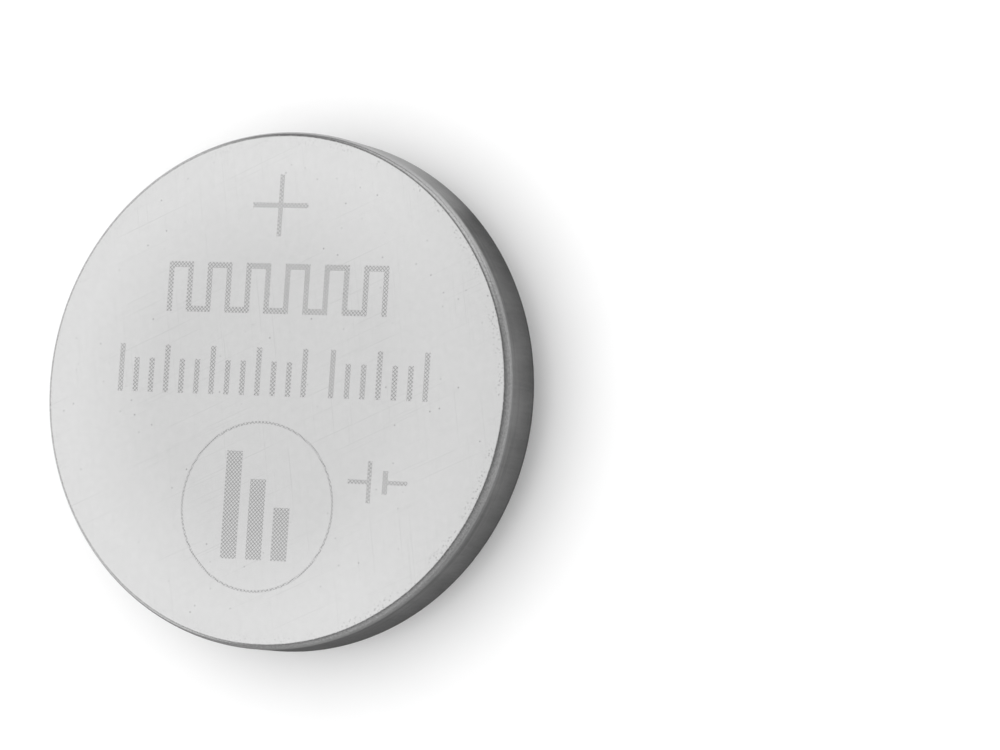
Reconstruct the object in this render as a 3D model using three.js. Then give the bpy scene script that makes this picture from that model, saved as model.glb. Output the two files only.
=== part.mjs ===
// Lithium coin cell, 24.5 mm across and 5.0 mm high, built as it is assembled.
// Millimetres, +Z up. The origin is on the axis at the level of the negative face, so the
// cell lies on its negative cap and shows its positive face at the top.
//
// Every piece is a body of revolution. A section is a list of [radius, height] points that
// starts and ends on the axis, or closes on itself for a ring.

import * as THREE from 'three';

// ---- Driving dimensions ---------------------------------------------------------------

const cellRadius = 12.25;
const cellHeight = 5.0;
const sheet = 0.25; // steel sheet of the can and of the cap
const contactGap = 0.02; // left between pieces that touch

const canHeight = 3.3; // from the positive face to the crest of the crimped lip
const lipCrest = cellHeight - canHeight;
const canEdgeRadius = 0.33; // outer edge of the positive face
const lipRadius = 0.6; // outside of the lip that is rolled in over the gasket
const lipTurn = 115; // degrees that the lip turns, so its tip points at the cap

const capRadius = 10.95; // the cap's visible wall
const capEdgeRadius = 0.45;
const flangeLevel = lipCrest + 0.52; // outer side of the step that the lip holds down
const flangeFillet = 0.15; // where the visible wall turns out into the step
const skirtRadius = 11.7; // hidden wall beyond the step
const skirtEdgeRadius = 0.35;

const gasketFootHeight = 0.29; // under the end of the skirt
const gasketFootRadius = 11.15; // inner edge of that foot
const gasketBead = [
  // the rounded inner end of the gasket, which shows in the groove round the cap
  [11.36, lipCrest + 0.24],
  [11.28, lipCrest + 0.18],
  [11.17, lipCrest + 0.17],
  [11.07, lipCrest + 0.22],
  [11.03, lipCrest + 0.3],
  [11.03, lipCrest + 0.42],
];

const lithiumRadius = 9.9;
const lithiumThickness = 1.0;
const lithiumEdge = 0.12;

const separatorRadius = 10.56;
const separatorThickness = 0.16;
const separatorRim = 1.0; // height of the rim turned up round the cathode

const pelletRadius = 10.2;
const pelletEdge = 0.15;

const ringSheet = 0.15;
const ringHeight = 1.7;
const ringFlangeWidth = 1.15; // turned in under the pellet
const ringBend = 0.3; // outside radius of the bend

const turnSegments = 60;
const arcSteps = 3; // straight steps in a quarter turn of a section

// ---- Section helpers ------------------------------------------------------------------

// Points on an arc about [r, z], from one angle to another in degrees. Zero points outwards
// and 90 points up, so a falling angle runs clockwise in the section.
function arc([r, z], radius, from, to) {
  const steps = Math.max(1, Math.round((Math.abs(to - from) / 90) * arcSteps));
  const points = [];
  for (let i = 0; i <= steps; i += 1) {
    const angle = THREE.MathUtils.degToRad(from + ((to - from) * i) / steps);
    points.push([r + radius * Math.cos(angle), z + radius * Math.sin(angle)]);
  }
  return points;
}

// Turns a section round the Z axis and gives it its name, colour and finish.
function turned(name, section, colour, roughness, metalness) {
  const points = section.map(([r, z]) => new THREE.Vector2(r, z));
  const geometry = new THREE.LatheGeometry(points, turnSegments);
  geometry.rotateX(Math.PI / 2);
  const material = new THREE.MeshStandardMaterial({ color: colour, roughness, metalness });
  const mesh = new THREE.Mesh(geometry, material);
  mesh.name = name;
  return mesh;
}

// ---- Steel case -----------------------------------------------------------------------

const canBore = cellRadius - sheet;
const canFloor = cellHeight - sheet;
const lipCentre = [cellRadius - lipRadius, lipCrest + lipRadius];
const skirtEnd = canFloor - contactGap - gasketFootHeight - contactGap;

// The positive can: a pressed cup, open downwards, with its wall rolled in at the bottom.
function positiveCan() {
  const edgeCentre = [cellRadius - canEdgeRadius, cellHeight - canEdgeRadius];
  const section = [
    [0, canFloor],
    ...arc([canBore - canEdgeRadius / 2, canFloor - canEdgeRadius / 2], canEdgeRadius / 2, 90, 0),
    ...arc(lipCentre, lipRadius - sheet, 0, -lipTurn),
    ...arc(lipCentre, lipRadius, -lipTurn, 0),
    ...arc(edgeCentre, canEdgeRadius, 0, 90),
    [0, cellHeight],
  ];
  return turned('positive_can', section, 0xc9cac7, 0.32, 1.0);
}

// The negative cap: a flat face, a straight wall, a step out and a skirt inside the can.
function negativeCap() {
  const edgeCentre = [capRadius - capEdgeRadius, capEdgeRadius];
  const filletCentre = [capRadius + flangeFillet, flangeLevel - flangeFillet];
  const skirtCentre = [skirtRadius - skirtEdgeRadius, flangeLevel + skirtEdgeRadius];
  const section = [
    [0, 0],
    ...arc(edgeCentre, capEdgeRadius, -90, 0),
    ...arc(filletCentre, flangeFillet, 180, 90),
    ...arc(skirtCentre, skirtEdgeRadius, -90, 0),
    [skirtRadius, skirtEnd],
    [skirtRadius - sheet, skirtEnd],
    ...arc(skirtCentre, skirtEdgeRadius - sheet, 0, -90),
    ...arc(filletCentre, flangeFillet + sheet, 90, 180),
    ...arc(edgeCentre, capEdgeRadius - sheet, 0, -90),
    [0, sheet],
  ];
  return turned('negative_cap', section, 0xbdbebb, 0.3, 1.0);
}

// ---- Seal -----------------------------------------------------------------------------

// The gasket: moulded round the cap's skirt and squeezed by the can's lip. Its foot lies on
// the can's floor and its bead shows beside the cap.
function gasketRing() {
  const outer = canBore - contactGap;
  const inner = skirtRadius + contactGap;
  const footTop = canFloor - contactGap;
  const underside = flangeLevel - contactGap;
  const skirtCentre = [skirtRadius - skirtEdgeRadius, flangeLevel + skirtEdgeRadius];
  const section = [
    [gasketFootRadius, footTop],
    [gasketFootRadius, skirtEnd + contactGap],
    [inner, skirtEnd + contactGap],
    ...arc(skirtCentre, skirtEdgeRadius + contactGap, 0, -90),
    [capRadius + flangeFillet, underside],
    ...gasketBead.slice().reverse(),
    ...arc(lipCentre, lipRadius - sheet - contactGap, -lipTurn, 0),
    [outer, footTop - canEdgeRadius / 2],
    [outer - canEdgeRadius / 2, footTop],
    [gasketFootRadius, footTop],
  ];
  return turned('gasket', section, 0x1c1c1e, 0.55, 0.0);
}

// ---- Contents -------------------------------------------------------------------------

const lithiumBase = sheet + contactGap;
const separatorBase = lithiumBase + lithiumThickness + contactGap;
const pelletBase = separatorBase + separatorThickness + contactGap;
const ringTop = canFloor - contactGap;
const ringRadius = pelletRadius + contactGap + ringSheet;

// The anode: a punched disc of lithium, pressed on the inside of the cap.
function lithiumDisc() {
  const rim = lithiumRadius - lithiumEdge;
  const top = lithiumBase + lithiumThickness;
  const section = [
    [0, lithiumBase],
    ...arc([rim, lithiumBase + lithiumEdge], lithiumEdge, -90, 0),
    ...arc([rim, top - lithiumEdge], lithiumEdge, 0, 90),
    [0, top],
  ];
  return turned('lithium_disc', section, 0xb9b7b0, 0.6, 1.0);
}

// The separator: a shallow dish of soft felt whose rim stands up round the cathode.
function separatorDish() {
  const inner = separatorRadius - separatorThickness;
  const floor = separatorBase + separatorThickness;
  const section = [
    [0, separatorBase],
    [inner, separatorBase],
    [separatorRadius, floor],
    [separatorRadius, separatorBase + separatorRim],
    [inner, separatorBase + separatorRim],
    [inner, floor],
    [0, floor],
  ];
  return turned('separator', section, 0xe9e8e2, 0.9, 0.0);
}

// The cathode: a pressed pellet whose middle fills the opening of the collector ring.
function cathodePellet() {
  const flangeEdge = ringRadius - ringFlangeWidth - contactGap;
  const shoulder = ringTop - ringSheet - contactGap;
  const section = [
    [0, pelletBase],
    ...arc([pelletRadius - pelletEdge, pelletBase + pelletEdge], pelletEdge, -90, 0),
    ...arc([pelletRadius - ringBend, shoulder - ringBend], ringBend, 0, 90),
    [flangeEdge, shoulder],
    [flangeEdge, ringTop],
    [0, ringTop],
  ];
  return turned('cathode_pellet', section, 0x2a2a2b, 0.85, 0.0);
}

// The collector ring: thin steel, L-shaped, round the pellet's rim on the can's floor.
function cathodeRing() {
  const bendCentre = [ringRadius - ringBend, ringTop - ringBend];
  const section = [
    [ringRadius - ringFlangeWidth, ringTop - ringSheet],
    ...arc(bendCentre, ringBend - ringSheet, 90, 0),
    [ringRadius - ringSheet, ringTop - ringHeight],
    [ringRadius, ringTop - ringHeight],
    ...arc(bendCentre, ringBend, 0, 90),
    [ringRadius - ringFlangeWidth, ringTop],
    [ringRadius - ringFlangeWidth, ringTop - ringSheet],
  ];
  return turned('cathode_ring', section, 0xa9aaa8, 0.35, 1.0);
}

// ---- Assembly -------------------------------------------------------------------------

const group = new THREE.Group();
group.add(positiveCan());
group.add(negativeCap());
group.add(gasketRing());
group.add(lithiumDisc());
group.add(separatorDish());
group.add(cathodePellet());
group.add(cathodeRing());

export default group;
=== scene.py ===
import math

import bpy
import numpy as np
from mathutils import Matrix, Vector
from mathutils.geometry import delaunay_2d_cdt


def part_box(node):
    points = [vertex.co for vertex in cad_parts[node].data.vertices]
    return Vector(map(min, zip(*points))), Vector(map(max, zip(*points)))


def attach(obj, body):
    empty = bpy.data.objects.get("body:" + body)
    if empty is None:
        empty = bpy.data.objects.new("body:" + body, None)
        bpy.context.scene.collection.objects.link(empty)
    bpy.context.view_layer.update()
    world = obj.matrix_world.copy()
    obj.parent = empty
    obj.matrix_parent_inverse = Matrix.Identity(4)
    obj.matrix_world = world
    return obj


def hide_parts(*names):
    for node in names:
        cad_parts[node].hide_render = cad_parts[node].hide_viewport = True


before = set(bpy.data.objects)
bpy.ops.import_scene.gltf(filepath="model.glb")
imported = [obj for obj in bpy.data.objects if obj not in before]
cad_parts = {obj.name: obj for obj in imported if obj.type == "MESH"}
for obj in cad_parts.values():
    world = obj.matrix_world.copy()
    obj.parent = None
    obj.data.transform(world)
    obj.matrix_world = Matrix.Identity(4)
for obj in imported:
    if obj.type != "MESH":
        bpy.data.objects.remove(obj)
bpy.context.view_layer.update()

# A lithium coin cell lying on its negative cap, with its positive face up.
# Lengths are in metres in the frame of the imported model: the origin is on the cell's axis where
# it touches the table, +Z runs to the positive face and +Y to the top of the marks on it.

MM = 0.001

# ---- Sizes ----------------------------------------------------------------------------

CAN_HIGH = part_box("positive_can")[1]
CAP_LOW, CAP_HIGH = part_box("negative_cap")
GASKET_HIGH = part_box("gasket")[1]
LITHIUM_LOW, LITHIUM_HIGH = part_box("lithium_disc")
SEPARATOR_LOW, SEPARATOR_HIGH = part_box("separator")
PELLET_LOW, PELLET_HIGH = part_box("cathode_pellet")
RING_LOW, RING_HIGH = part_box("cathode_ring")

SHEET = 0.25 * MM
GAP = 0.02 * MM

CELL_RADIUS = CAN_HIGH.x
FACE_LEVEL = CAN_HIGH.z
EDGE_TIGHT = 0.23 * MM  # radius of the face's edge next to the face
EDGE_WIDE = 0.72 * MM  # and next to the wall, which it meets smoothly
EDGE_CHANGE = 60  # degrees turned where one radius gives way to the other
LIP_RADIUS = 0.6 * MM
LIP_TURN = 115
LIP_CREST = FACE_LEVEL - 3.3 * MM

CAP_RADIUS = 10.95 * MM
CAP_EDGE = 0.32 * MM
FLANGE_LEVEL = LIP_CREST + 0.52 * MM
FLANGE_FILLET = 0.15 * MM
SKIRT_RADIUS = CAP_HIGH.x
SKIRT_END = CAP_HIGH.z
SKIRT_EDGE = 0.35 * MM

DIMPLE_PITCH = 0.70 * MM
DIMPLE_TURN = math.radians(6.8)
DIMPLE_HEIGHT = 0.06 * MM
DIMPLE_RADIUS = 0.20 * MM
DIMPLE_SIDES = 10

TRIM = 0.03 * MM  # radius left on a cut sheet edge
TURN_STEPS = 360  # sides of the can and the cap, which are seen
INNER_STEPS = 240  # sides of the pieces inside them
FLAT_START = 2 * MM  # radius of the ring of points round the middle of a flat face


# ---- Sections and turned solids -------------------------------------------------------

def arc(centre, radius, start, end, steps=10):
    """Points at centre + radius * (cos a, sin a), with a going evenly from start to end degrees."""
    a = np.radians(np.linspace(start, end, steps + 1))
    return np.stack([centre[0] + radius * np.cos(a), centre[1] + radius * np.sin(a)], axis=1)


def guarded(p, q, guard=0.04 * MM):
    """Two points just inside the ends of the straight p to q, which keep its shading flat."""
    p, q = np.array(p, float), np.array(q, float)
    step = (q - p) * guard / np.linalg.norm(q - p)
    return np.stack([p + step, q - step])


def closed_section(*stretches):
    """Stacks stretches of (radius, height) points into one loop that runs anticlockwise."""
    points = np.concatenate([np.atleast_2d(np.array(s, float)) for s in stretches])
    moved = np.linalg.norm(points - np.roll(points, 1, axis=0), axis=1) > 1e-8
    points = points[moved]
    r, z = points.T
    area = np.sum(r * np.roll(z, -1) - np.roll(r, -1) * z)
    return points if area > 0 else points[::-1]


def turn(section, steps=TURN_STEPS):
    """Turns a closed section about the Z axis.

    Point i of the section at step j stands at (r cos a, r sin a, z) with a = 2 pi j / steps.
    A section point on the axis gives one vertex, and the side next to it a fan of triangles.
    """
    r, z = section.T
    on_axis = r < 1e-9
    a = 2 * math.pi * np.arange(steps) / steps
    ring = np.stack([np.outer(r, np.cos(a)), np.outer(r, np.sin(a)), np.outer(z, np.ones(steps))], 2)
    starts = np.cumsum(np.r_[0, np.where(on_axis, 1, steps)])[:-1]
    vertices = np.concatenate([ring[i, :1] if on_axis[i] else ring[i] for i in range(len(r))])
    j, k = np.arange(steps), (np.arange(steps) + 1) % steps
    faces = []
    for i in range(len(r)):
        n = (i + 1) % len(r)
        if on_axis[i] and on_axis[n]:
            continue
        low = (starts[i] + j, starts[i] + k)
        high = (starts[n] + j, starts[n] + k)
        if on_axis[i]:
            sides = np.stack([np.full(steps, starts[i]), high[1], high[0]], 1)
        elif on_axis[n]:
            sides = np.stack([low[0], low[1], np.full(steps, starts[n])], 1)
        else:
            sides = np.stack([low[0], low[1], high[1], high[0]], 1)
        faces += sides.tolist()
    return vertices, faces


def make_piece(name, vertices, faces, sharp=40):
    """One smooth mesh object, with edges sharper than the given degrees kept crisp."""
    mesh = bpy.data.meshes.new(name)
    mesh.from_pydata(np.asarray(vertices).tolist(), [], faces)
    mesh.validate()
    mesh.shade_smooth()
    mesh.set_sharp_from_angle(angle=math.radians(sharp))
    piece = bpy.data.objects.new(name, mesh)
    bpy.context.scene.collection.objects.link(piece)
    return piece


def install(piece, node, finish):
    """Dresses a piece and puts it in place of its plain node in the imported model."""
    piece.data.materials.append(finish)
    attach(piece, "root")
    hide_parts(node)
    return piece


# ---- Case -----------------------------------------------------------------------------

CAN_BORE = CELL_RADIUS - SHEET
CAN_FLOOR = FACE_LEVEL - SHEET
INNER_EDGE = 0.16 * MM
LIP_CENTRE = np.array((CELL_RADIUS - LIP_RADIUS, LIP_CREST + LIP_RADIUS))


def face_edge():
    """From the wall up and in to the face: an arc of EDGE_WIDE, then one of EDGE_TIGHT."""
    turned = math.radians(90 - EDGE_CHANGE)
    rise = EDGE_WIDE * math.sin(turned) + EDGE_TIGHT * (1 - math.sin(turned))
    wide = np.array((CELL_RADIUS - EDGE_WIDE, FACE_LEVEL - rise))
    tight = wide + (EDGE_WIDE - EDGE_TIGHT) * np.array((math.cos(turned), math.sin(turned)))
    return np.concatenate([
        arc(wide, EDGE_WIDE, 0, 90 - EDGE_CHANGE, 10)[:-1],
        arc(tight, EDGE_TIGHT, 90 - EDGE_CHANGE, 90, 14),
    ])


FACE_EDGE = face_edge()
EDGE_START = FACE_EDGE[0]  # where the wall ends
EDGE_END = FACE_EDGE[-1]  # where the flat face starts


def lip_tip():
    """The cut end of the lip, square across the sheet with its two corners rounded by TRIM."""
    facing = math.radians(-LIP_TURN)
    out = np.array((math.cos(facing), math.sin(facing)))
    along = np.array((math.sin(facing), -math.cos(facing)))
    inner = LIP_CENTRE + (LIP_RADIUS - SHEET + TRIM) * out - TRIM * along
    outer = LIP_CENTRE + (LIP_RADIUS - TRIM) * out - TRIM * along
    return np.concatenate([
        arc(inner, TRIM, -LIP_TURN - 180, -LIP_TURN - 90, 3),
        arc(outer, TRIM, -LIP_TURN - 90, -LIP_TURN, 3),
    ])


def can_section():
    """Round the can's sheet: floor, bore, inside of the lip, tip, outside of the lip, wall, face."""
    return closed_section(
        (0, CAN_FLOOR),
        guarded((FLAT_START, CAN_FLOOR), (CAN_BORE - INNER_EDGE, CAN_FLOOR)),
        arc((CAN_BORE - INNER_EDGE, CAN_FLOOR - INNER_EDGE), INNER_EDGE, 90, 0, 6),
        guarded((CAN_BORE, CAN_FLOOR - INNER_EDGE), (CAN_BORE, LIP_CENTRE[1])),
        arc(LIP_CENTRE, LIP_RADIUS - SHEET, 0, -LIP_TURN, 12),
        lip_tip(),
        arc(LIP_CENTRE, LIP_RADIUS, -LIP_TURN, 0, 20),
        guarded((CELL_RADIUS, LIP_CENTRE[1]), EDGE_START),
        FACE_EDGE,
        guarded(EDGE_END, (FLAT_START, FACE_LEVEL)),
        (0, FACE_LEVEL),
    )


def cap_skirt_section():
    """Round the cap's sheet from the edge of its dimpled face, through wall, step and skirt.

    The inside of the face lies one sheet above the dimples' crowns, clear of the lithium.
    """
    edge = (CAP_RADIUS - CAP_EDGE, CAP_LOW.z + DIMPLE_HEIGHT + CAP_EDGE)
    inner_edge = (edge[0], edge[1] - DIMPLE_HEIGHT)
    fillet = (CAP_RADIUS + FLANGE_FILLET, FLANGE_LEVEL - FLANGE_FILLET)
    skirt = (SKIRT_RADIUS - SKIRT_EDGE, FLANGE_LEVEL + SKIRT_EDGE)
    end = SKIRT_END - TRIM
    return np.concatenate([
        arc(edge, CAP_EDGE, -90, 0, 14),
        guarded((CAP_RADIUS, edge[1]), (CAP_RADIUS, fillet[1])),
        arc(fillet, FLANGE_FILLET, 180, 90, 8),
        guarded((fillet[0], FLANGE_LEVEL), (skirt[0], FLANGE_LEVEL)),
        arc(skirt, SKIRT_EDGE, -90, 0, 10),
        guarded((SKIRT_RADIUS, skirt[1]), (SKIRT_RADIUS, end)),
        arc((SKIRT_RADIUS - TRIM, end), TRIM, 0, 90, 3),
        arc((SKIRT_RADIUS - SHEET + TRIM, end), TRIM, 90, 180, 3),
        guarded((SKIRT_RADIUS - SHEET, end), (SKIRT_RADIUS - SHEET, skirt[1])),
        arc(skirt, SKIRT_EDGE - SHEET, 0, -90, 5),
        guarded((skirt[0], FLANGE_LEVEL + SHEET), (fillet[0], FLANGE_LEVEL + SHEET)),
        arc(fillet, FLANGE_FILLET + SHEET, 90, 180, 8),
        guarded((CAP_RADIUS - SHEET, fillet[1]), (CAP_RADIUS - SHEET, inner_edge[1])),
        arc(inner_edge, CAP_EDGE - SHEET, 0, -90, 6),
    ])


def dimple_centres(limit):
    """Crossings of a square lattice, turned by DIMPLE_TURN, that lie within the limit radius."""
    count = int(limit / DIMPLE_PITCH) + 2
    i, j = np.meshgrid(np.arange(-count, count + 1), np.arange(-count, count + 1))
    u, v = DIMPLE_PITCH * (i.ravel() + 0.5), DIMPLE_PITCH * (j.ravel() + 0.5)
    c, s = math.cos(DIMPLE_TURN), math.sin(DIMPLE_TURN)
    centres = np.stack([c * u - s * v, s * u + c * v], 1)
    return centres[np.hypot(*centres.T) < limit]


def dimpled_disc(radius, level, rim_steps):
    """The cap's face: a flat disc with raised dimples, as a Delaunay mesh of rings of points.

    A dimple stands DIMPLE_HEIGHT * cos^2(pi d / 2 DIMPLE_RADIUS) below the level at distance d
    from its middle, and nothing beyond DIMPLE_RADIUS.
    """
    a = 2 * math.pi * np.arange(DIMPLE_SIDES) / DIMPLE_SIDES
    a = a + math.pi / DIMPLE_SIDES * np.array([0, 1, 0, 0])[:, None]
    d = DIMPLE_RADIUS * np.array([0.4, 0.75, 1.0, 1.12])[:, None]
    rings = np.stack([d * np.cos(a), d * np.sin(a)], 2).reshape(-1, 2)
    rings = np.concatenate([np.zeros((1, 2)), rings])
    away = np.hypot(*rings.T)
    swell = np.where(away < DIMPLE_RADIUS, np.cos(math.pi * away / 2 / DIMPLE_RADIUS) ** 2, 0.0)
    centres = dimple_centres(radius - 1.15 * DIMPLE_RADIUS)
    points = (centres[:, None] + rings[None]).reshape(-1, 2)
    heights = level - DIMPLE_HEIGHT * np.tile(swell, len(centres))
    a = 2 * math.pi * np.arange(rim_steps) / rim_steps
    rim = radius * np.stack([np.cos(a), np.sin(a)], 1)
    points = np.concatenate([rim, points])
    heights = np.concatenate([np.full(rim_steps, level), heights])
    rim_loop = [list(range(rim_steps))]
    flat = [Vector(p) for p in points.tolist()]
    placed, _, triangles, origin, _, _ = delaunay_2d_cdt(flat, [], rim_loop, 1, 1e-9)
    order = np.array([o[0] for o in origin])
    vertices = np.column_stack([points[order], heights[order]])
    return vertices, [list(t)[::-1] for t in triangles], order


def cap_mesh():
    """The whole cap: the dimpled disc, then its sheet turned from the disc's rim and back inside."""
    level = CAP_LOW.z + DIMPLE_HEIGHT
    radius = CAP_RADIUS - CAP_EDGE
    disc, triangles, order = dimpled_disc(radius, level, TURN_STEPS)
    section = cap_skirt_section()[1:]
    section = np.concatenate([section, [(FLAT_START, section[-1][1]), (0.0, section[-1][1])]])
    a = 2 * math.pi * np.arange(TURN_STEPS) / TURN_STEPS
    shape = [
        np.stack([r * np.cos(a), r * np.sin(a), np.full(TURN_STEPS, z)], 1)
        for r, z in section[:-1]
    ]
    pole = np.array([[0.0, 0.0, section[-1][1]]])
    vertices = np.concatenate([disc, *shape, pole])
    rim = np.empty(TURN_STEPS, int)
    is_rim = order < TURN_STEPS
    rim[order[is_rim]] = np.flatnonzero(is_rim)
    rows = [rim] + [len(disc) + n * TURN_STEPS + np.arange(TURN_STEPS) for n in range(len(shape))]
    faces = list(triangles)
    for low, high in zip(rows, rows[1:]):
        faces += np.stack([low, np.roll(low, -1), np.roll(high, -1), high], 1).tolist()
    last = rows[-1]
    faces += [[int(p), int(q), len(vertices) - 1] for p, q in zip(last, np.roll(last, -1))]
    return vertices, faces


# ---- Seal and contents ----------------------------------------------------------------

def gasket_section():
    """Round the gasket: its foot, the side against the skirt, its bead, the side against the can."""
    outer = CAN_BORE - GAP
    inner = SKIRT_RADIUS + GAP
    foot_edge = 11.15 * MM
    foot_top = GASKET_HIGH.z
    corner = INNER_EDGE
    under_flange = 11.12 * MM
    bead, bead_radius = (11.17 * MM, LIP_CREST + 0.31 * MM), 0.14 * MM
    skirt = (SKIRT_RADIUS - SKIRT_EDGE, FLANGE_LEVEL + SKIRT_EDGE)
    return closed_section(
        (foot_edge, foot_top),
        (foot_edge, SKIRT_END + GAP),
        (inner, SKIRT_END + GAP),
        arc(skirt, SKIRT_EDGE + GAP, 0, -90, 8),
        (under_flange, FLANGE_LEVEL - GAP),
        arc(bead, bead_radius, -190, -60, 10),
        arc(LIP_CENTRE, LIP_RADIUS - SHEET - GAP, -LIP_TURN, 0, 12),
        arc((outer - corner, foot_top - corner), corner, 0, 90, 4),
    )


def lithium_section():
    """A punched disc with slightly rounded edges."""
    low, high, radius, edge = LITHIUM_LOW.z, LITHIUM_HIGH.z, LITHIUM_HIGH.x, 0.12 * MM
    return closed_section(
        (0, low),
        guarded((FLAT_START, low), (radius - edge, low)),
        arc((radius - edge, low + edge), edge, -90, 0, 5),
        arc((radius - edge, high - edge), edge, 0, 90, 5),
        guarded((radius - edge, high), (FLAT_START, high)),
        (0, high),
    )


def separator_section():
    """A shallow dish of felt with a soft bend and a rounded rim."""
    low, high, radius, felt = SEPARATOR_LOW.z, SEPARATOR_HIGH.z, SEPARATOR_HIGH.x, 0.16 * MM
    return closed_section(
        (0, low),
        guarded((FLAT_START, low), (radius - felt, low)),
        arc((radius - felt, low + felt), felt, -90, 0, 5),
        arc((radius - felt / 2, high - felt / 2), felt / 2, 0, 180, 8),
        (radius - felt, low + felt),
        guarded((radius - felt, low + felt), (FLAT_START, low + felt)),
        (0, low + felt),
    )


RING_SHEET = 0.15 * MM
RING_FLANGE = 1.15 * MM
RING_BEND = 0.3 * MM


def pellet_section():
    """A pressed pellet whose middle stands proud of its rim by the ring's sheet."""
    low, high, radius, edge = PELLET_LOW.z, PELLET_HIGH.z, PELLET_HIGH.x, 0.15 * MM
    shoulder = high - RING_SHEET - GAP
    flange_edge = RING_HIGH.x - RING_FLANGE - GAP
    return closed_section(
        (0, low),
        guarded((FLAT_START, low), (radius - edge, low)),
        arc((radius - edge, low + edge), edge, -90, 0, 5),
        arc((radius - RING_BEND, shoulder - RING_BEND), RING_BEND, 0, 90, 6),
        (flange_edge, shoulder),
        (flange_edge, high),
        guarded((flange_edge, high), (FLAT_START, high)),
        (0, high),
    )


def ring_section():
    """The collector ring's L: a wall, a bend and a flange, with rounded cut ends."""
    bend = (RING_HIGH.x - RING_BEND, RING_HIGH.z - RING_BEND)
    half = RING_SHEET / 2
    wall_end = (RING_HIGH.x - half, RING_LOW.z + half)
    flange_end = (RING_HIGH.x - RING_FLANGE + half, RING_HIGH.z - half)
    return closed_section(
        arc(wall_end, half, 180, 360, 6),
        arc(bend, RING_BEND, 0, 90, 8),
        arc(flange_end, half, 90, 270, 6),
        arc(bend, RING_BEND - RING_SHEET, 90, 0, 6),
    )


# ---- Shader maths ---------------------------------------------------------------------

class Number:
    """A socket that holds one number. Arithmetic on it adds Math nodes to its tree."""

    def __init__(self, tree, socket):
        self.tree = tree
        self.socket = socket

    def maths(self, operation, *values):
        node = self.tree.nodes.new("ShaderNodeMath")
        node.operation = operation
        for socket, value in zip(node.inputs, values):
            if isinstance(value, Number):
                self.tree.links.new(value.socket, socket)
            else:
                socket.default_value = value
        return Number(self.tree, node.outputs[0])

    def __add__(self, other):
        return self.maths("ADD", self, other)

    def __radd__(self, other):
        return self.maths("ADD", other, self)

    def __sub__(self, other):
        return self.maths("SUBTRACT", self, other)

    def __rsub__(self, other):
        return self.maths("SUBTRACT", other, self)

    def __mul__(self, other):
        return self.maths("MULTIPLY", self, other)

    def __rmul__(self, other):
        return self.maths("MULTIPLY", other, self)

    def __truediv__(self, other):
        return self.maths("DIVIDE", self, other)

    def __mod__(self, other):
        return self.maths("FLOORED_MODULO", self, other)

    def __pow__(self, other):
        return self.maths("POWER", self, other)

    def __abs__(self):
        return self.maths("ABSOLUTE", self)

    def least(self, other):
        return self.maths("MINIMUM", self, other)

    def most(self, other):
        return self.maths("MAXIMUM", self, other)

    def above(self, limit, blur):
        """0 below the limit and 1 above it, with a straight ramp as wide as blur."""
        return self.maths("MULTIPLY_ADD", self, 1 / blur, 0.5 - limit / blur).clamped()

    def below(self, limit, blur):
        return 1 - self.above(limit, blur)

    def clamped(self):
        self.socket.node.use_clamp = True
        return self


class Finish:
    """A node tree being filled in, with one way to add any node."""

    def __init__(self, tree):
        self.tree = tree
        tree.nodes.clear()

    def node(self, kind, settings=None, inputs=None):
        """Adds a node, sets its settings first, then its sockets to values or links."""
        made = self.tree.nodes.new(kind)
        for name, value in (settings or {}).items():
            setattr(made, name, value)
        for name, value in (inputs or {}).items():
            if isinstance(value, Number):
                value = value.socket
            if isinstance(value, bpy.types.NodeSocket):
                self.tree.links.new(value, made.inputs[name])
            else:
                made.inputs[name].default_value = value
        return made

    def number(self, kind, settings=None, inputs=None, output=0):
        """The same, giving one output as a Number."""
        return Number(self.tree, self.node(kind, settings, inputs).outputs[output])

    def noise(self, vector, size, detail=2.0, roughness=0.5, distortion=0.0):
        """Fractal noise around 0.5 whose largest features are about size metres."""
        inputs = {
            "Vector": vector, "Scale": 1 / size, "Detail": detail,
            "Roughness": roughness, "Distortion": distortion,
        }
        return self.number("ShaderNodeTexNoise", {"noise_dimensions": "3D"}, inputs, "Fac")

    def dots(self, vector, size, reach):
        """Specks: 1 at scattered points about size metres apart, 0 beyond reach of the size."""
        settings = {"voronoi_dimensions": "3D", "feature": "F1"}
        inputs = {"Vector": vector, "Scale": 1 / size, "Randomness": 1.0}
        return self.number("ShaderNodeTexVoronoi", settings, inputs, "Distance").below(reach, reach)

    def mix(self, factor, first, second):
        """Blends two colours, each a triple or a colour socket."""
        def rgba(colour):
            return (*colour, 1.0) if isinstance(colour, tuple) else colour
        mixed = self.node(
            "ShaderNodeMix",
            {"data_type": "RGBA", "blend_type": "MIX"},
            {0: factor, 6: rgba(first), 7: rgba(second)},
        )
        return mixed.outputs[2]

    def grey(self, level):
        return self.mix(level.clamped(), (0.0, 0.0, 0.0), (1.0, 1.0, 1.0))

    def bump(self, height, distance, strength=1.0, normal=None):
        inputs = {"Height": height, "Distance": distance, "Strength": strength}
        if normal is not None:
            inputs["Normal"] = normal
        return self.node("ShaderNodeBump", {}, inputs).outputs["Normal"]


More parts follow.
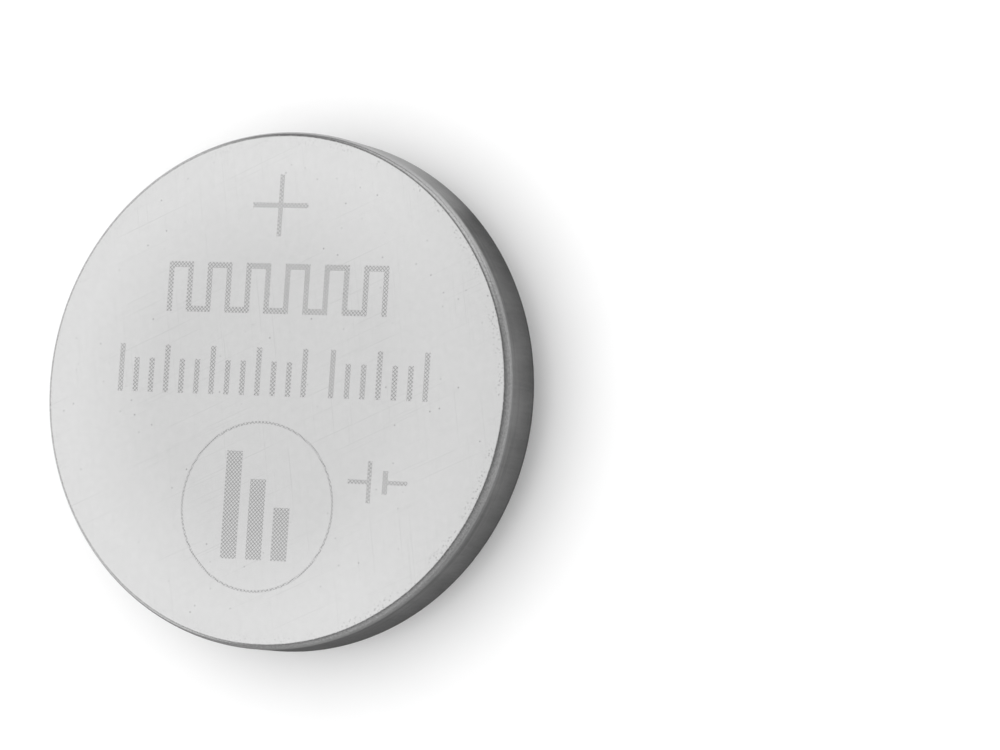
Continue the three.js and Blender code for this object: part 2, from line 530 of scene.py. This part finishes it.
class Surface(Finish):
    """A material: Object coordinates as a vector and as x, y, z and radius, and its shader."""

    def __init__(self, name, **uniform):
        self.material = bpy.data.materials.new(name)
        self.material.use_nodes = True
        super().__init__(self.material.node_tree)
        self.shader = self.node("ShaderNodeBsdfPrincipled", {}, {
            key.replace("_", " "): value for key, value in uniform.items()
        })
        output = self.node("ShaderNodeOutputMaterial")
        self.tree.links.new(self.shader.outputs[0], output.inputs[0])
        self.place = self.node("ShaderNodeTexCoord").outputs["Object"]
        split = self.node("ShaderNodeSeparateXYZ", {}, {0: self.place})
        self.x, self.y, self.z = (Number(self.tree, split.outputs[n]) for n in range(3))
        self.radius = (self.x * self.x + self.y * self.y) ** 0.5

    def vector(self, x, y, z):
        return self.node("ShaderNodeCombineXYZ", {}, {0: x, 1: y, 2: z}).outputs[0]

    def upright(self, stretch):
        """Coordinates for grain that runs along the axis: height shrunk by the stretch."""
        return self.vector(self.x, self.y, self.z / stretch)

    def around(self, stretch):
        """Coordinates for lines that run round the axis: x and y shrunk by the stretch."""
        return self.vector(self.x / stretch, self.y / stretch, self.z)

    def wear(self, **sockets):
        """Feeds the shader's varying sockets."""
        for key, value in sockets.items():
            value = value.socket if isinstance(value, Number) else value
            self.tree.links.new(value, self.shader.inputs[key.replace("_", " ")])
        return self.material


# ---- Marks on the positive face -------------------------------------------------------

STROKE = 0.28 * MM  # width of the drawn lines
BLUR = 0.03 * MM  # softness of a mark's edge
HATCH = 0.185 * MM  # spacing of the etched lines that fill the marks


def box_mask(x, y, left, right, low, high):
    """1 inside an upright rectangle: the distance outside it is the larger of the two sides'."""
    across = abs(x - (left + right) / 2) - (right - left) / 2
    along = abs(y - (low + high) / 2) - (high - low) / 2
    return across.most(along).below(0.0, BLUR)


def bars_mask(x, y, left, right, low, high, pitch, width):
    """1 on upright bars of one width and pitch, the first at left, cut to a rectangle."""
    bar = abs((x - (left - pitch / 2)) % pitch - pitch / 2).below(width / 2, BLUR)
    return bar * box_mask(x, y, left - width / 2, right + width / 2, low, high)


def square_wave_mask(x, y, left, low, high, pitch, count, width):
    """A line that goes up and down square: bars, joined in turn at the top and at the bottom."""
    right = left + pitch * (count - 1)
    bars = bars_mask(x, y, left, right, low, high, pitch, width)
    upper = ((x - left) % (2 * pitch)).below(pitch, BLUR)
    top = box_mask(x, y, left, right, high - width, high) * upper
    bottom = box_mask(x, y, left, right, low, low + width) * (1 - upper)
    return bars.most(top).most(bottom)


def plus_mask(x, y, middle_x, middle_y, arm, half_line):
    """A plus sign: two boxes across each other."""
    across = box_mask(
        x, y, middle_x - arm, middle_x + arm, middle_y - half_line, middle_y + half_line
    )
    upright = box_mask(
        x, y, middle_x - half_line, middle_x + half_line, middle_y - arm, middle_y + arm
    )
    return across.most(upright)


def graduated_mask(x, y, left, count):
    """A group of upright bars, every third of them tall."""
    low, short, tall, pitch = -0.33 * MM, 1.3 * MM, 1.95 * MM, 0.82 * MM
    right = left + pitch * (count - 1)
    every = bars_mask(x, y, left, right, low, short, pitch, STROKE)
    return every.most(bars_mask(x, y, left, right, low, tall, 3 * pitch, STROKE))


def ring_mask(x, y, middle_x, middle_y, radius, line):
    """A thin ring: 1 where the distance to its middle is within half a line of its radius."""
    away = ((x - middle_x) ** 2.0 + (y - middle_y) ** 2.0) ** 0.5
    return abs(away - radius).below(line / 2, BLUR)


def etched_marks(x, y):
    """All the marks: plus sign, square wave, two groups of bars, ring with bars, cell symbol."""
    marks = plus_mask(x, y, -0.22 * MM, 8.71 * MM, 1.47 * MM, 0.12 * MM)
    marks = marks.most(
        square_wave_mask(x, y, -5.84 * MM, 3.56 * MM, 5.95 * MM, 1.04 * MM, 12, STROKE)
    )
    for left, count in ((-8.2 * MM, 13), (3.1 * MM, 7)):
        marks = marks.most(graduated_mask(x, y, left, count))

    ring_x, ring_y = -0.41 * MM, -5.57 * MM
    marks = marks.most(ring_mask(x, y, ring_x, ring_y, 3.99 * MM, 0.11 * MM))
    bar_step, bar_half, base = 1.34 * MM, 0.42 * MM, ring_y - 2.5 * MM
    for place, height in ((-1, 5.1 * MM), (0, 3.8 * MM), (1, 2.5 * MM)):
        bar_x = ring_x + place * bar_step
        marks = marks.most(box_mask(x, y, bar_x - bar_half, bar_x + bar_half, base, base + height))

    cell_y = -4.18 * MM
    lead, long_plate, short_plate = 0.1 * MM, 0.98 * MM, 0.55 * MM
    for left, right, half in (
        (4.3, 5.3, lead), (5.3, 5.52, long_plate), (6.1, 6.38, short_plate), (6.38, 7.4, lead)
    ):
        marks = marks.most(box_mask(x, y, left * MM, right * MM, cell_y - half, cell_y + half))
    return marks


# ---- Finishes -------------------------------------------------------------------------

CAN_GREY = 0.69  # how much of the light the clean metal gives back
CAP_GREY = 0.70


def scratches(s, angle, length, spacing, share):
    """Fine straight scratches at one angle: noise drawn out along it, of which a share shows."""
    c, d = math.cos(math.radians(angle)), math.sin(math.radians(angle))
    along, across = s.x * c + s.y * d, s.y * c - s.x * d
    streaks = s.noise(s.vector(along / length, across / spacing, angle), 1.0, 1.0)
    return streaks.above(1 - share, 0.03)


def etching(s):
    """Depth of the marks' etching: fine lines crossed at 45 degrees, broken up by grit."""
    rise = abs((s.x + s.y) % HATCH - HATCH / 2)
    fall = abs((s.x - s.y) % HATCH - HATCH / 2)
    hatch = rise.least(fall).below(HATCH * 0.10, HATCH * 0.09)
    grit = s.noise(s.place, 0.05 * MM, 2.0)
    return etched_marks(s.x, s.y) * (0.10 + 0.90 * hatch) * (0.4 + 1.2 * grit)


def handling(s):
    """Darkening of the face by specks, by pits near its rim and by hairline scratches."""
    specks = s.dots(s.place, 0.7 * MM, 0.06) * s.noise(s.place, 1.5 * MM, 1.0).above(0.42, 0.3)
    near_rim = s.radius.above(CELL_RADIUS - 0.62 * MM, 0.25 * MM)
    more_to_the_right = 0.35 + s.x.above(2 * MM, 12 * MM)
    clusters = s.noise(s.place, 1.3 * MM, 2.0).above(0.48, 0.12)
    pits = s.dots(s.place, 0.14 * MM, 0.27) * near_rim * more_to_the_right * clusters
    hairs = scratches(s, 100, 6 * MM, 0.05 * MM, 0.30)
    hairs = hairs.most(scratches(s, 25, 9 * MM, 0.06 * MM, 0.31))
    return specks * 0.3 + pits * 0.18 + hairs * 0.06


def can_finish():
    """Nickel-faced steel: satin face with etched marks, speckled edge, wall drawn lengthways."""
    s = Surface("can_steel", Metallic=1.0)
    face = s.z.above(FACE_LEVEL - 0.004 * MM, 0.006 * MM)
    edge = s.z.above(EDGE_START[1], 0.1 * MM) * (1 - face)
    wall = s.z.below(EDGE_START[1], 0.2 * MM)
    etched = etching(s) * face

    cloud = s.noise(s.place, 7 * MM, 3.0, 0.55)
    mottle = s.noise(s.place, 0.35 * MM, 4.0, 0.65)
    # Painted sheen: the face is made paler towards its rim, except on its +X side.
    painted_rim_sheen = s.radius.above(8.5 * MM, 4.5 * MM) * s.x.below(8.0 * MM, 7.0 * MM)
    # Ragged nicks just outside the face's edge: raised in the relief, and darkened in the colour as
    # painted shade.
    burr_and_painted_shade = abs(s.radius - EDGE_END[0] - 0.06 * MM).below(0.05 * MM, 0.06 * MM)
    burr_and_painted_shade = burr_and_painted_shade * s.noise(s.place, 0.07 * MM, 2.0).above(0.45, 0.15) * edge
    speckle = s.noise(s.place, 0.09 * MM, 2.0, 0.6) - 0.5
    lines = s.noise(s.around(40.0), 0.2 * MM, 2.0).above(0.53, 0.12)
    lines = lines * abs(s.z - EDGE_START[1] + 0.35 * MM).below(0.4 * MM, 0.3 * MM)
    smear = s.noise(s.upright(2.5), 1.5 * MM, 3.0, 0.55)
    grain = s.noise(s.upright(16.0), 0.10 * MM, 3.0, 0.6)

    shade = 0.98 + (cloud - 0.5) * 0.06 + (mottle - 0.5) * 0.09 + painted_rim_sheen * 0.13
    shade = shade - handling(s) * face - burr_and_painted_shade * 0.26
    shade = shade * (1 - etched * 0.46) * (1 - lines * 0.20) * (1 + edge * speckle * 0.8)
    shade = shade * (1 + wall * ((smear - 0.5) * 0.6 + (grain - 0.5) * 0.25))
    steel = s.grey(shade * CAN_GREY)
    rough = 0.15 + face * 0.10 + edge * (0.06 + speckle * 0.1) + (cloud - 0.5) * 0.05
    rough = rough + etched * 0.2 + wall * grain * 0.12
    relief = mottle * 0.25 - etched * 0.5 + grain * wall * 0.3 + burr_and_painted_shade * 3.0
    return s.wear(Base_Color=steel, Roughness=rough, Normal=s.bump(relief, 0.003 * MM, 0.4))


def cap_finish():
    """Bright pressed steel: smooth between the dimples, with lines round the wall."""
    s = Surface("cap_steel", Metallic=1.0)
    mottle = s.noise(s.place, 0.4 * MM, 3.0, 0.6)
    smear = s.noise(s.place, 3 * MM, 3.0, 0.5)
    rings = s.noise(s.around(50.0), 0.07 * MM, 2.0, 0.6)
    wall = s.radius.above(CAP_RADIUS - 0.3 * MM, 0.2 * MM)
    shade = 1.0 + (smear - 0.5) * 0.06 + wall * (rings - 0.5) * 0.35
    steel = s.grey(shade * CAP_GREY)
    rough = 0.15 + (mottle - 0.5) * 0.06 + wall * (0.05 + (rings - 0.5) * 0.15)
    relief = mottle * 0.3 + rings * wall * 0.6
    return s.wear(Base_Color=steel, Roughness=rough, Normal=s.bump(relief, 0.004 * MM, 0.5))


def gasket_finish():
    """Black moulded plastic with a fine skin and dusty streaks."""
    s = Surface("gasket_plastic")
    skin = s.noise(s.place, 0.08 * MM, 3.0)
    dust = s.noise(s.place, 0.7 * MM, 4.0, 0.6).above(0.6, 0.3)
    black = s.mix(dust * 0.5, (0.012, 0.012, 0.013), (0.06, 0.058, 0.055))
    rough = 0.38 + skin * 0.2 + dust * 0.15
    return s.wear(Base_Color=black, Roughness=rough, Normal=s.bump(skin, 0.004 * MM, 0.4))


def lithium_finish():
    """Dull soft metal: rolling lines across it and patches of grey tarnish."""
    s = Surface("lithium", Metallic=1.0)
    rolled = s.noise(s.vector(s.x * 0.05, s.y, s.z), 0.15 * MM, 3.0, 0.6)
    tarnish = s.noise(s.place, 2.2 * MM, 5.0, 0.6).above(0.52, 0.2)
    metal = s.mix(tarnish * 0.6, (0.66, 0.655, 0.63), (0.36, 0.35, 0.34))
    rough = 0.42 + rolled * 0.15 + tarnish * 0.2
    return s.wear(Base_Color=metal, Roughness=rough, Normal=s.bump(rolled, 0.01 * MM, 0.5))


def separator_finish():
    """White felt: tangled fibres, thick and thin."""
    s = Surface("separator_felt")
    fibres = s.noise(s.place, 0.12 * MM, 4.0, 0.7, 2.5)
    clumps = s.noise(s.place, 0.9 * MM, 3.0)
    felt = s.mix(fibres * 0.7 + clumps * 0.3, (0.62, 0.61, 0.58), (0.93, 0.92, 0.90))
    rough = 0.8 + fibres * 0.15
    return s.wear(Base_Color=felt, Roughness=rough, Normal=s.bump(fibres, 0.02 * MM, 0.6))


def pellet_finish():
    """Pressed black powder: grit, a few bright flecks and shallow pores."""
    s = Surface("pressed_cathode")
    grit = s.noise(s.place, 0.06 * MM, 4.0, 0.7)
    pores = s.dots(s.place, 0.35 * MM, 0.16)
    flecks = s.dots(s.place, 0.17 * MM, 0.08)
    powder = s.mix(grit, (0.016, 0.016, 0.017), (0.06, 0.058, 0.056))
    powder = s.mix(flecks * 0.5, powder, (0.22, 0.22, 0.22))
    rough = 0.62 + grit * 0.3
    relief = grit - pores
    return s.wear(Base_Color=powder, Roughness=rough, Normal=s.bump(relief, 0.012 * MM, 0.7))


def ring_finish():
    """Thin bright steel, drawn lengthways."""
    s = Surface("ring_steel", Metallic=1.0)
    grain = s.noise(s.upright(10.0), 0.1 * MM, 3.0, 0.6)
    steel = s.mix(grain, (0.5, 0.5, 0.49), (0.66, 0.66, 0.65))
    rough = 0.25 + grain * 0.15
    return s.wear(Base_Color=steel, Roughness=rough, Normal=s.bump(grain, 0.004 * MM, 0.4))


# ---- Pieces ---------------------------------------------------------------------------

def build_cell():
    install(make_piece("can_shell", *turn(can_section())), "positive_can", can_finish())
    install(make_piece("cap_shell", *cap_mesh()), "negative_cap", cap_finish())
    turned = (
        ("seal_ring", gasket_section, "gasket", "gasket_plastic", gasket_finish),
        ("anode_disc", lithium_section, "lithium_disc", "lithium", lithium_finish),
        ("felt_dish", separator_section, "separator", "separator_felt", separator_finish),
        ("cathode_block", pellet_section, "cathode_pellet", "pressed_cathode", pellet_finish),
        ("collector_ring", ring_section, "cathode_ring", "ring_steel", ring_finish),
    )
    for name, section, node, slot, finish in turned:
        install(make_piece(name, *turn(section(), INNER_STEPS)), node, finish())


# ---- Stage ----------------------------------------------------------------------------

FLOOR_HALF = 1.5
CARD_HALF = 0.02
CARD_LIFT = 0.005 * MM

CAMERA_PLACE = Vector((105.60, -14.18, 204.55)) * MM
CAMERA_RIGHT = Vector((0.9049, 0.0657, -0.4205))
CAMERA_BACK = Vector((0.4245, -0.0688, 0.9028))  # from the cell towards the camera
CAMERA_LENS = 172.8  # focal length in mm for a frame 36 mm wide

PAPER_WHITE = 0.92
ALL_ROUND = 1.0  # strength of the white light from all sides
ROOM = 0.13  # strength of the studio's walls in reflections
WINDOW = 0.96  # and of its windows


def build_sheet(name, half, level):
    """A square of paper at one level."""
    corners = [(-half, -half, level), (half, -half, level), (half, half, level), (-half, half, level)]
    mesh = bpy.data.meshes.new(name)
    mesh.from_pydata(corners, [], [[0, 1, 2, 3]])
    sheet = bpy.data.objects.new(name, mesh)
    bpy.context.scene.collection.objects.link(sheet)
    return sheet


def build_floor():
    """The pale floor, and a card that takes its place in the cell's reflections, with a painted
    shadow round the cell and painted light behind it.
    """
    floor = build_sheet("pale_floor", FLOOR_HALF, 0.0)
    s = Surface("pale_floor", Roughness=0.9)
    paper = s.noise(s.place, 3 * MM, 3.0)
    floor.data.materials.append(s.wear(Base_Color=s.grey(PAPER_WHITE + paper * 0.02)))
    floor.visible_glossy = False

    card = build_sheet("painted_shadow_card", CARD_HALF, CARD_LIFT)
    s = Surface("painted_shadow_card", Roughness=0.9)
    # Painted shadow round the cell: the card is dark up to about 13 mm from the axis and paler
    # beyond. It is paler towards +Y, and painted light makes it lighter still behind the cell.
    painted_shadow_fade_near = s.radius.above(13.8 * MM, 1.4 * MM) * (0.09 + s.y.above(-9 * MM, 8 * MM) * 0.04)
    painted_shadow_fade_far = s.radius.above(14.8 * MM, 0.9 * MM) * (0.03 + s.y.above(-9 * MM, 8 * MM) * 0.11)
    painted_light_behind = s.y.above(10.8 * MM, 3.5 * MM) * 0.50
    card.data.materials.append(s.wear(Base_Color=s.grey((0.11 + painted_shadow_fade_near + painted_shadow_fade_far).most(painted_light_behind))))
    card.visible_camera = False
    card.visible_diffuse = False
    card.visible_shadow = False
    card.visible_transmission = False


def build_camera():
    """Looks down on the face from the +X side, with +Y up in the picture."""
    right, back = CAMERA_RIGHT.normalized(), CAMERA_BACK.normalized()
    up = back.cross(right).normalized()
    right = up.cross(back)
    lens = bpy.data.cameras.new("camera")
    lens.sensor_width = 36.0
    lens.lens = CAMERA_LENS
    lens.clip_start = 0.005
    lens.clip_end = 10.0
    camera = bpy.data.objects.new("camera", lens)
    facing = Matrix((right, up, back)).transposed().to_4x4()
    camera.matrix_world = Matrix.Translation(CAMERA_PLACE) @ facing
    bpy.context.scene.collection.objects.link(camera)
    bpy.context.scene.camera = camera


def build_studio():
    """Plain soft light: white all round, a wide lamp above, and a studio seen in the metal.

    In reflections the white gives way to a dim room with two windows: one where the face looks
    from the camera, and one overhead. Its walls are paler to the left, at the back and in front,
    and grow paler away from the first window.
    """
    world = bpy.data.worlds.new("studio")
    bpy.context.scene.world = world
    world.use_nodes = True
    w = Finish(world.node_tree)
    ray = w.node("ShaderNodeTexCoord").outputs["Generated"]

    def away_from(x, y, z):
        """Angle in degrees between the ray and a direction."""
        aim = tuple(Vector((x, y, z)).normalized())
        settings = {"operation": "DOT_PRODUCT"}
        cosine = w.number("ShaderNodeVectorMath", settings, {0: ray, 1: aim}, "Value")
        return cosine.maths("ARCCOSINE", cosine) * (180 / math.pi)

    window = away_from(-0.56, 0.07, 0.82).below(30, 9)
    window = window.most(away_from(-0.08, 0.0, 1.0).below(15, 9))
    from_face = away_from(-0.42, 0.07, 0.90)
    distant = from_face.above(98, 110) * 0.30
    left = away_from(-0.95, 0.0, 0.25).below(51, 12) * from_face.above(40, 12) * 0.5
    back = away_from(0.33, 0.90, 0.28).below(30, 26) * 0.46
    front = away_from(0.10, -0.93, 0.35).below(40, 34) * 0.10
    room = ROOM + distant + left + back + front
    studio = room + window * (WINDOW - room)
    mirrored = w.number("ShaderNodeLightPath", output="Is Glossy Ray")
    light = ALL_ROUND + mirrored * (studio - ALL_ROUND)
    background = w.node("ShaderNodeBackground", {}, {"Color": (1, 1, 1, 1), "Strength": light})
    output = w.node("ShaderNodeOutputWorld")
    w.tree.links.new(background.outputs[0], output.inputs[0])

    lamp = bpy.data.lights.new("overhead", "AREA")
    lamp.shape = "DISK"
    lamp.size = 2.4
    lamp.energy = 7.0
    overhead = bpy.data.objects.new("overhead", lamp)
    overhead.location = (-0.25, 0.15, 1.0)
    overhead.rotation_euler = Vector((0.25, -0.15, -1.0)).to_track_quat("-Z", "Y").to_euler()
    overhead.visible_glossy = False
    bpy.context.scene.collection.objects.link(overhead)
    bpy.context.scene.view_settings.view_transform = "Standard"


build_camera()
build_cell()
build_floor()
build_studio()
